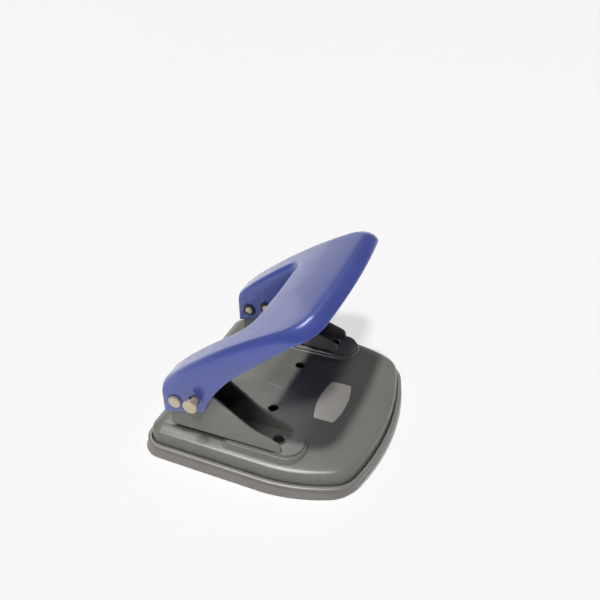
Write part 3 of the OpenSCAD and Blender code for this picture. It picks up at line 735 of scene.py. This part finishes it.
def browProfile():
    s, n = baseShape, baseSteps
    radius = (s["browW"] ** 2 + s["browFall"] ** 2) / (2 * s["browFall"])
    turn = math.asin(s["browW"] / radius)
    inset = -s["skirtGap"] - s["lipRound"] - s["skirtLean"] - s["edgeR"]
    low = place["plateZ"] - s["browFall"] - s["edgeR"] * math.cos(turn)
    start = inset + s["edgeR"] * math.sin(turn)
    rings = []
    for i in range(n["edge"] + 1):
        a = lerp(math.pi / 2, turn, i / n["edge"])
        rings.append((inset + s["edgeR"] * math.sin(a), 0.0, low + s["edgeR"] * math.cos(a)))
    for i in range(1, n["brow"] + 1):
        a = lerp(turn, 0, i / n["brow"])
        height = place["plateZ"] - radius + radius * math.cos(a)
        rings.append((start, s["browW"] - radius * math.sin(a), height))
    return rings, start, radius


brow, browStart, browRadius = browProfile()  # offset, run of the border and height of each ring


# height of the base plate's skin over a point, from its distance to the outline
def plateHeight(x, y):
    best = math.inf
    for (p, _), (q, _) in zip(outline, outline[1:]):
        d = q - p
        t = clampShare(((abs(x) - p.x) * d.x + (y - p.y) * d.y) / d.length_squared)
        best = min(best, (p + d * t - Vector((abs(x), y))).length)
    run = baseShape["browW"] - (best + browStart) / borderShare(y)
    run = min(max(run, 0), baseShape["browW"])
    return place["plateZ"] - browRadius + math.sqrt(browRadius ** 2 - run ** 2)


# centre mark: a pressed groove with a pale line laid in it
markShape = dict(wide=0.8, long=10.4, turn=16.0, deep=0.3, edgeShare=0.4, lineGap=0.06, lineDrop=0.05)


def markBar(name, wide, long, low):
    s = markShape
    turn = Matrix.Rotation(-math.radians(s["turn"]), 3, "Z")
    bm = bmesh.new()
    bmesh.ops.create_cube(bm, size=1.0)
    bmesh.ops.scale(bm, vec=Vector((wide, long, wide)) * mm, verts=bm.verts)
    bmesh.ops.bevel(bm, geom=bm.edges[:], offset=wide * s["edgeShare"] * mm, affect="EDGES", segments=3,
                    profile=0.5, material=-1)
    bmesh.ops.translate(bm, vec=Vector((0, -s["long"] / 2, wide / 2 + low)) * mm, verts=bm.verts)
    bmesh.ops.rotate(bm, cent=(0, 0, 0), matrix=turn, verts=bm.verts)
    bmesh.ops.translate(bm, vec=Vector((0, place["stopY"], place["plateZ"])) * mm, verts=bm.verts)
    return toObject(bm, name)


# drums for the round holes under a bracket, from pairs of y and radius
def boreCutters(x, z, bores):
    cutters = []
    for y, radius in bores:
        centre = Vector((x * place["bracketX"], y, z)) * mm
        cutters.append(rod("boreCut", centre, upright, radius * mm, drum["throughPlate"]))
    return cutters


eyeletBores = [(place["punchY"] - place[key], baseShape["eyeletR"]) for key in ("eyeletFront", "eyeletRear")]


def makeBasePlate():
    s = baseShape
    bm = bmesh.new()
    ring = startRing(bm, baseRing(-s["skirtGap"] - s["lipRound"], s["ledgeZ"] + s["restGap"]), True)
    for off, run, z in brow:
        ring = liftRing(bm, ring, baseRing(off, z, run=run))
    lastOff, lastRun, _ = brow[-1]
    ring = liftRing(bm, ring, baseRing(lastOff - s["flatStep"], place["plateZ"], run=lastRun))
    capRing(bm, ring)
    faceUp(bm)
    plate = toObject(bm, "basePressing")
    thicken(plate, s["plateT"] * mm)
    cutters = []
    for x in sides.values():
        centre = Vector((x * s["holeX"], s["holeY"], s["cutZ"])) * mm
        cutters.append(rod("openHoleCut", centre, upright, s["holeR"] * mm, drum["throughPlate"]))
    for x in sides.values():
        cutters += boreCutters(x, s["cutZ"], [(place["punchY"], s["punchR"]), *eyeletBores])
    cutters.append(markBar("markCut", markShape["wide"], markShape["long"], -markShape["deep"]))
    cutWith(plate, cutters)
    settle(plate, cutters)
    roundEdges(plate, s["edgeRound"] * mm, 60)
    settle(plate)
    return dress(plate, "baseLacquer", "base", 40, ["base_plate"], even=True)


def makeMarkLine():
    s = markShape
    wide = s["wide"] - 2 * s["lineGap"]
    line = markBar("centreMark", wide, s["long"] - 2 * s["lineGap"], -s["lineDrop"] - wide)
    dress(line, "markPaint", "base", 40)


basePlate = makeBasePlate()
makeMarkLine()
print("base plate drawn:", len(basePlate.data.polygons), "faces")


# raised pads: pressed up from the plate, so each starts just under the plate's own skin
padShape = dict(radius=9.2, cornerR=2.5, reachOut=0.7, reachIn=0.6, rearRamp=3.0, sink=0.03, flatStep=0.6,
                cutZ=16.0)
padSteps = dict(front=18, side=16, corner=10, wall=14)


def padOutline(off, x):
    s, n = padShape, padSteps
    front = Vector((0, place["wallFrontY"] - s["radius"]))
    half = [(front + s["radius"] * (outward(a) - outward(0)), a) for a in quarterTurn(n["front"])]
    p = half[-1][0]
    run = place["stopY"] - place["wallFrontY"] - s["cornerR"]
    half += [(p + Vector((0, run * i / n["side"])), math.pi / 2) for i in range(1, n["side"] + 1)]
    p = half[-1][0]
    for i in range(1, n["corner"] + 1):
        a = lerp(math.pi / 2, math.pi, i / n["corner"])
        half.append((p + s["cornerR"] * (outward(a) - outward(math.pi / 2)), a))
    right = []
    for q, a in half:
        ramp = 1 + s["rearRamp"] * max(2 * a / math.pi - 1, 0)
        right.append(q + outward(a) * off * ramp)
    both = right + [Vector((-q.x, q.y)) for q in reversed(right[1:])]
    return [(q.x + x * place["bracketX"], q.y) for q in both]


def makePad(side, x):
    s, steps = padShape, padSteps["wall"]
    bm = bmesh.new()
    ring = None
    for i in range(steps + 1):
        t = i / steps
        rise = t * t * t * (t * (6 * t - 15) + 10)
        points = []
        for px, py in padOutline(lerp(s["reachOut"], -s["reachIn"], t), x):
            low = plateHeight(px, py) - s["sink"]
            points.append(Vector((px, py, lerp(low, place["padZ"], rise))) * mm)
        ring = liftRing(bm, ring, points) if ring else startRing(bm, points, True)
    flat = padOutline(-s["reachIn"] - s["flatStep"], x)
    ring = liftRing(bm, ring, [Vector((px, py, place["padZ"])) * mm for px, py in flat])
    capRing(bm, ring)
    faceUp(bm)
    pad = toObject(bm, side + "PadPressing")
    cutters = boreCutters(x, s["cutZ"], eyeletBores)
    cutWith(pad, cutters)
    settle(pad, cutters)
    dress(pad, "baseLacquer", "base", 60)


for side, x in sides.items():
    makePad(side, x)
print("pads pressed")


# chip tray: foot, leaning wall, rolled lip, ledge for the plate's skirt and a flat floor
# each point of its floor's edge is (inwards, above the floor)
trayShape = dict(foot=0.6, footRun=2.0, bead=1.3, beadStep=0.4, beadRound=0.9, ledgeW=2.0, floorT=1.6,
                 floorEdge=((0.0, 0.5), (0.15, 0.15), (0.5, 0.0), (3.0, 0.0)))
traySteps = dict(foot=5, wall=6, hollow=5, bead=8, lip=5)


def trayRings():
    s, n = trayShape, traySteps
    lipZ, lipRound = baseShape["lipZ"], baseShape["lipRound"]
    inside = -lipRound - baseShape["skirtGap"] - s["ledgeW"]
    groove = lipZ - s["bead"] - s["beadStep"]
    rings = [(lipOut - s["foot"] - s["footRun"], 0.0, 1.0)]
    for a in quarterTurn(n["foot"]):
        rings.append((lipOut - s["foot"] + s["foot"] * math.sin(a), s["foot"] * (1 - math.cos(a)), 1.0))
    for i in range(1, n["wall"] + 1):
        t = i / n["wall"]
        rings.append((lipOut - s["beadStep"] * i / n["wall"], lerp(s["foot"], groove, t), 1 - t))
    for a in quarterTurn(n["hollow"])[1:]:
        rings.append((lipOut - s["beadStep"] * math.cos(a), groove + s["beadStep"] * math.sin(a), 0.0))
    rings.append((lipOut, lipZ - s["beadRound"], 0.0))
    for a in quarterTurn(n["bead"])[1:]:
        rings.append((lipOut - s["beadRound"] * (1 - math.cos(a)),
                      lipZ - s["beadRound"] * (1 - math.sin(a)), 0.0))
    for a in quarterTurn(n["lip"]):
        rings.append((-lipRound * math.sin(a), lipZ - lipRound * (1 - math.cos(a)), 0.0))
    rings += [(-lipRound, baseShape["ledgeZ"], 0.0), (inside, baseShape["ledgeZ"], 0.0)]
    rings += [(inside - inwards, s["floorT"] + above, 0.0) for inwards, above in s["floorEdge"]]
    return rings


def makeTray():
    bm = bmesh.new()
    ring = None
    for off, z, lean in trayRings():
        points = baseRing(off, z, lean)
        if ring:
            ring = liftRing(bm, ring, points)
        else:
            ring = startRing(bm, points, True)
            capRing(bm, ring)
    capRing(bm, ring)
    bmesh.ops.recalc_face_normals(bm, faces=bm.faces[:])
    tray = toObject(bm, "trayMoulding")
    dress(tray, "trayPlastic", "chip_tray", 40, ["chip_tray"])


makeTray()
print("tray moulded")


# pieces whose CAD shape is right: a merged copy, with soft edges where a width is given
softShape = dict(bracket=0.18, label=0.08, angle=40)


def softCopy(node, name, material, body, width=0.0):
    bm = bmesh.new()
    bm.from_mesh(nodes[node].data)
    bmesh.ops.remove_doubles(bm, verts=bm.verts[:], dist=1e-6)
    bmesh.ops.dissolve_limit(bm, angle_limit=math.radians(0.5), verts=bm.verts[:], edges=bm.edges[:])
    copy = toObject(bm, name)
    if width:
        roundEdges(copy, width * mm, softShape["angle"])
        settle(copy)
    dress(copy, material, body, softShape["angle"], [node], even=True)


for side in sides:
    softCopy(side + "_bracket", side + "Channel", "bracketLacquer", "base",
             softShape["bracket"])
    softCopy(side + "_punch_rod", side + "Punch", "punchSteel", side + "_punch")
softCopy("label_plate", "blankLabel", "labelMetal", "base", softShape["label"])
print("channels, punches and label softened")


# turned pieces, each spun from half a profile of (along the axis, radius); a ring's profile closes on itself
spinSteps = 56


def spinPiece(name, profile, centre, axis):
    bm = bmesh.new()
    axis = Vector(axis)
    out = axis.orthogonal().normalized()
    verts = [bm.verts.new(Vector(centre) + axis * a * mm + out * r * mm) for a, r in profile]
    edges = [bm.edges.new(pair) for pair in zip(verts, verts[1:])]
    if profile[0][1] > 0:
        edges.append(bm.edges.new((verts[-1], verts[0])))
    bmesh.ops.spin(bm, geom=verts + edges, cent=centre, axis=axis, angle=2 * math.pi, steps=spinSteps,
                   use_merge=True)
    bmesh.ops.remove_doubles(bm, verts=bm.verts[:], dist=1e-6)
    bmesh.ops.recalc_face_normals(bm, faces=bm.faces[:])
    return toObject(bm, name)


# pins and their push-on rings; each edge is a row of (along, in from the full radius)
pinShape = dict(radius=2.0, tail=0.6, crown=0.125, crownSteps=6,
                tailEdge=((0.0, 0.5), (0.15, 0.2), (0.5, 0.0)),
                neckEdge=((0.0, 0.25), (0.08, 0.08), (0.25, 0.0)),
                headEdge=((0.55, 0.0), (0.30, 0.07), (0.14, 0.22), (0.06, 0.45)))
ringShape = dict(radius=3.4, thick=0.8, fit=0.02,
                 rim=((0.0, 0.12), (0.12, 0.0), (0.42, 0.0), (0.55, 0.12)),
                 dish=((0.62, 0.7), (0.78, 0.3), (0.8, 0.0)))
# a drive pin's ring keeps off the moving arm, and its head stands out from it
pinKinds = dict(Pivot=dict(at=("pivotY", "pivotZ"), headR=3.1, headT=1.4, gap=0.0, stand=0.0),
                Drive=dict(at=("punchY", "driveZ"), headR=3.5, headT=2.0, gap=0.4, stand=3.2))


def pinProfile(start, end, headR, headT):
    s = pinShape
    top = end + headT
    profile = [(start, 0.0)]
    profile += [(start + along, s["radius"] - inwards) for along, inwards in s["tailEdge"]]
    profile.append((end, s["radius"]))
    profile += [(end + along, headR - inwards) for along, inwards in s["neckEdge"]]
    profile += [(top - along, headR - inwards) for along, inwards in s["headEdge"]]
    rimTop, rim = profile[-1]
    for i in range(1, s["crownSteps"] + 1):
        left = 1 - i / s["crownSteps"]
        profile.append((rimTop + s["crown"] * (1 - left ** 2), rim * left))
    return profile


def ringProfile(start):
    s = ringShape
    bore = pinShape["radius"] + s["fit"]
    rim = [(start - along, s["radius"] - inwards) for along, inwards in s["rim"]]
    dish = [(start - along, bore + outwards) for along, outwards in s["dish"]]
    return [(start, bore)] + rim + dish


def makePin(side, x, kind, body):
    s = pinKinds[kind]
    half = place["armWide"] / 2
    tail = -half - ringShape["thick"] - pinShape["tail"] - s["gap"]
    centre = Vector((x * place["bracketX"], *[place[key] for key in s["at"]])) * mm
    node = side + "_" + kind.lower()
    profile = pinProfile(tail, half + s["stand"], s["headR"], s["headT"])
    pin = spinPiece(side + kind + "Pin", profile, centre, (x, 0, 0))
    dress(pin, "pinPlating", body, 40, [node + "_pin"])
    ring = spinPiece(side + kind + "Clip", ringProfile(-half - s["gap"]), centre, (x, 0, 0))
    dress(ring, "ringBlack", body, 40, [node + "_ring"])


for side, x in sides.items():
    makePin(side, x, "Pivot", "lever")
    makePin(side, x, "Drive", side + "_punch")
print("pins and clips turned")


# eyelets: flat flange below, rolled rim above
# rows: underEdge (down, in from the rim), rollOut (up, in from the rim), rollIn (up, out from the bore)
eyeletShape = dict(bore=2.5, wall=0.6, flange=0.4, low=15.8,
                   underEdge=((0.3, 0.1), (0.15, 0.0), (0.0, 0.05)),
                   rollOut=((0.02, 0.06), (0.08, 0.0), (0.16, 0.12), (0.27, 0.42)),
                   rollIn=((0.30, 0.50), (0.26, 0.24), (0.12, 0.06), (-0.15, 0.0)))


def makeEyelet(side, x, kind):
    s = eyeletShape
    bore, low, top = s["bore"], s["low"], place["tongueZ"]
    shank = bore + s["wall"]
    rim = bore + s["wall"] + s["flange"]
    profile = [(low - s["underEdge"][0][0], bore)]
    profile += [(low - below, rim - inwards) for below, inwards in s["underEdge"]]
    profile += [(low, shank), (top, shank)]
    profile += [(top + up, rim - inwards) for up, inwards in s["rollOut"]]
    profile += [(top + up, bore + outwards) for up, outwards in s["rollIn"]]
    centre = Vector((x * place["bracketX"], place["punchY"] - place["eyelet" + kind], 0)) * mm
    eyelet = spinPiece(side + kind + "Eyelet", profile, centre, upright)
    dress(eyelet, "eyeletSteel", "base", 45, [side + "_" + kind.lower() + "_eyelet"])


for side, x in sides.items():
    for kind in ("Front", "Rear"):
        makeEyelet(side, x, kind)
print("eyelets flared")


# return springs: one round wire spun upwards
springShape = dict(wire=1.0, coil=7.8, turns=6, low=19.05, high=35.65, stroke=6.0, stepsPerTurn=28,
                   wireSides=12)


def makeSpring(side, x):
    s = springShape
    rise = s["high"] - s["low"]
    steps = s["turns"] * s["stepsPerTurn"]
    centre = Vector((x * place["bracketX"], place["punchY"], s["low"])) * mm
    start = centre + Vector((x * s["coil"] / 2, 0, 0)) * mm
    lead = math.atan2(rise / s["turns"], math.pi * s["coil"])
    turn = Matrix.Translation(start) @ Matrix.Rotation(math.pi / 2 + x * lead, 4, "X")
    bm = bmesh.new()
    bmesh.ops.create_circle(bm, segments=s["wireSides"], radius=s["wire"] / 2 * mm, matrix=turn)
    bmesh.ops.spin(bm, geom=bm.verts[:] + bm.edges[:], cent=centre, axis=upright, steps=steps,
                   angle=x * 2 * math.pi * s["turns"], dvec=(0, 0, rise / steps * mm), use_merge=False)
    bmesh.ops.holes_fill(bm, edges=[e for e in bm.edges if e.is_boundary], sides=s["wireSides"])
    bmesh.ops.recalc_face_normals(bm, faces=bm.faces[:])
    spring = toObject(bm, side + "Spring")
    dress(spring, "springSteel", "base", 60, [side + "_return_spring"])
    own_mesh(spring)


for side, x in sides.items():
    makeSpring(side, x)
print("springs wound")


# floor and light
studio = dict(floor=(0.95, 0.95, 0.945), floorRough=0.9, floorShine=0.1, radius=6.0, rimSides=96,
              horizon=0.55, room=0.06, roomFrom=0.02, roomTo=0.26)


def makeFloor():
    bm = bmesh.new()
    bmesh.ops.create_circle(bm, cap_ends=True, segments=studio["rimSides"], radius=studio["radius"])
    floor = toObject(bm, "studioFloor")
    material = bpy.data.materials.new("studioPaper")
    material.use_nodes = True
    shader = material.node_tree.nodes["Principled BSDF"]
    shader.inputs["Base Color"].default_value = (*studio["floor"], 1)
    shader.inputs["Roughness"].default_value = studio["floorRough"]
    shader.inputs["Specular IOR Level"].default_value = studio["floorShine"]
    floor.data.materials.append(material)


# the room: pale at the floor's edge, dimmer above
def makeWorld():
    s = studio
    world = bpy.data.worlds.new("studioRoom")
    scene.world = world
    world.use_nodes = True
    tree = world.node_tree
    glow = tree.nodes["Background"]
    glow.inputs["Color"].default_value = (1, 1, 1, 1)
    coord = addNode(tree, "TexCoord", (-800, 0))
    parts = addNode(tree, "SeparateXYZ", (-600, 0))
    tree.links.new(coord.outputs["Generated"], parts.inputs[0])
    walls = span(tree, (-300, 0), parts.outputs["Z"], s["roomFrom"], s["roomTo"], s["horizon"], s["room"],
                 smooth=True)
    tree.links.new(walls.outputs[0], glow.inputs["Strength"])


# two soft lights shape the object, and three boxes only draw its highlights
lamps = dict(
    overhead=dict(kind="SUN", place=(-0.175, 0.069, 0.98), aim=(0, 0, 0), power=2.1, angle=4.5,
                  shows="diffuse"),
    beside=dict(kind="SUN", place=(-0.497, -0.133, 0.857), aim=(0, 0, 0), power=0.95, angle=6.0,
                shows="diffuse"),
    browBox=dict(kind="AREA", place=(-0.53, 0.10, 0.84), aim=(0, 0, 0), size=(0.66, 0.80), power=28.0,
                 shows="glossy", on=("basePressing", "leftPadPressing", "rightPadPressing", "trayMoulding")),
    noseBox=dict(kind="AREA", place=(0.40, 0.41, 0.80), aim=(-0.04, -0.03, 0.08), size=(0.44, 0.20), turn=38,
                 power=2.3, shows="glossy"),
    wallBox=dict(kind="AREA", place=(0.954, 1.157, 0.25), aim=(0, 0, 0.085), size=(0.61, 0.37), power=0.40,
                 tint=(1.0, 0.97, 0.88), shows="glossy"),
)


def makeLamp(name, s):
    data = bpy.data.lights.new(name, s["kind"])
    data.energy = s["power"]
    data.color = s.get("tint", (1, 1, 1))
    if s["kind"] == "SUN":
        data.angle = math.radians(s["angle"])
    else:
        data.shape = "RECTANGLE"
        data.size, data.size_y = s["size"]
    lamp = bpy.data.objects.new(name, data)
    lamp.location = s["place"]
    facing = (Vector(s["aim"]) - Vector(s["place"])).to_track_quat("-Z", "Y").to_matrix()
    lamp.rotation_euler = (facing @ Matrix.Rotation(math.radians(s.get("turn", 0)), 3, "Z")).to_euler()
    lamp.visible_diffuse = s["shows"] == "diffuse"
    lamp.visible_glossy = s["shows"] == "glossy"
    if "on" in s:
        lit = bpy.data.collections.new(name)
        for piece in s["on"]:
            lit.objects.link(bpy.data.objects[piece])
        lamp.light_linking.receiver_collection = lit
    scene.collection.objects.link(lamp)


makeFloor()
makeWorld()
for name, lamp in lamps.items():
    makeLamp(name, lamp)
print("studio lit")
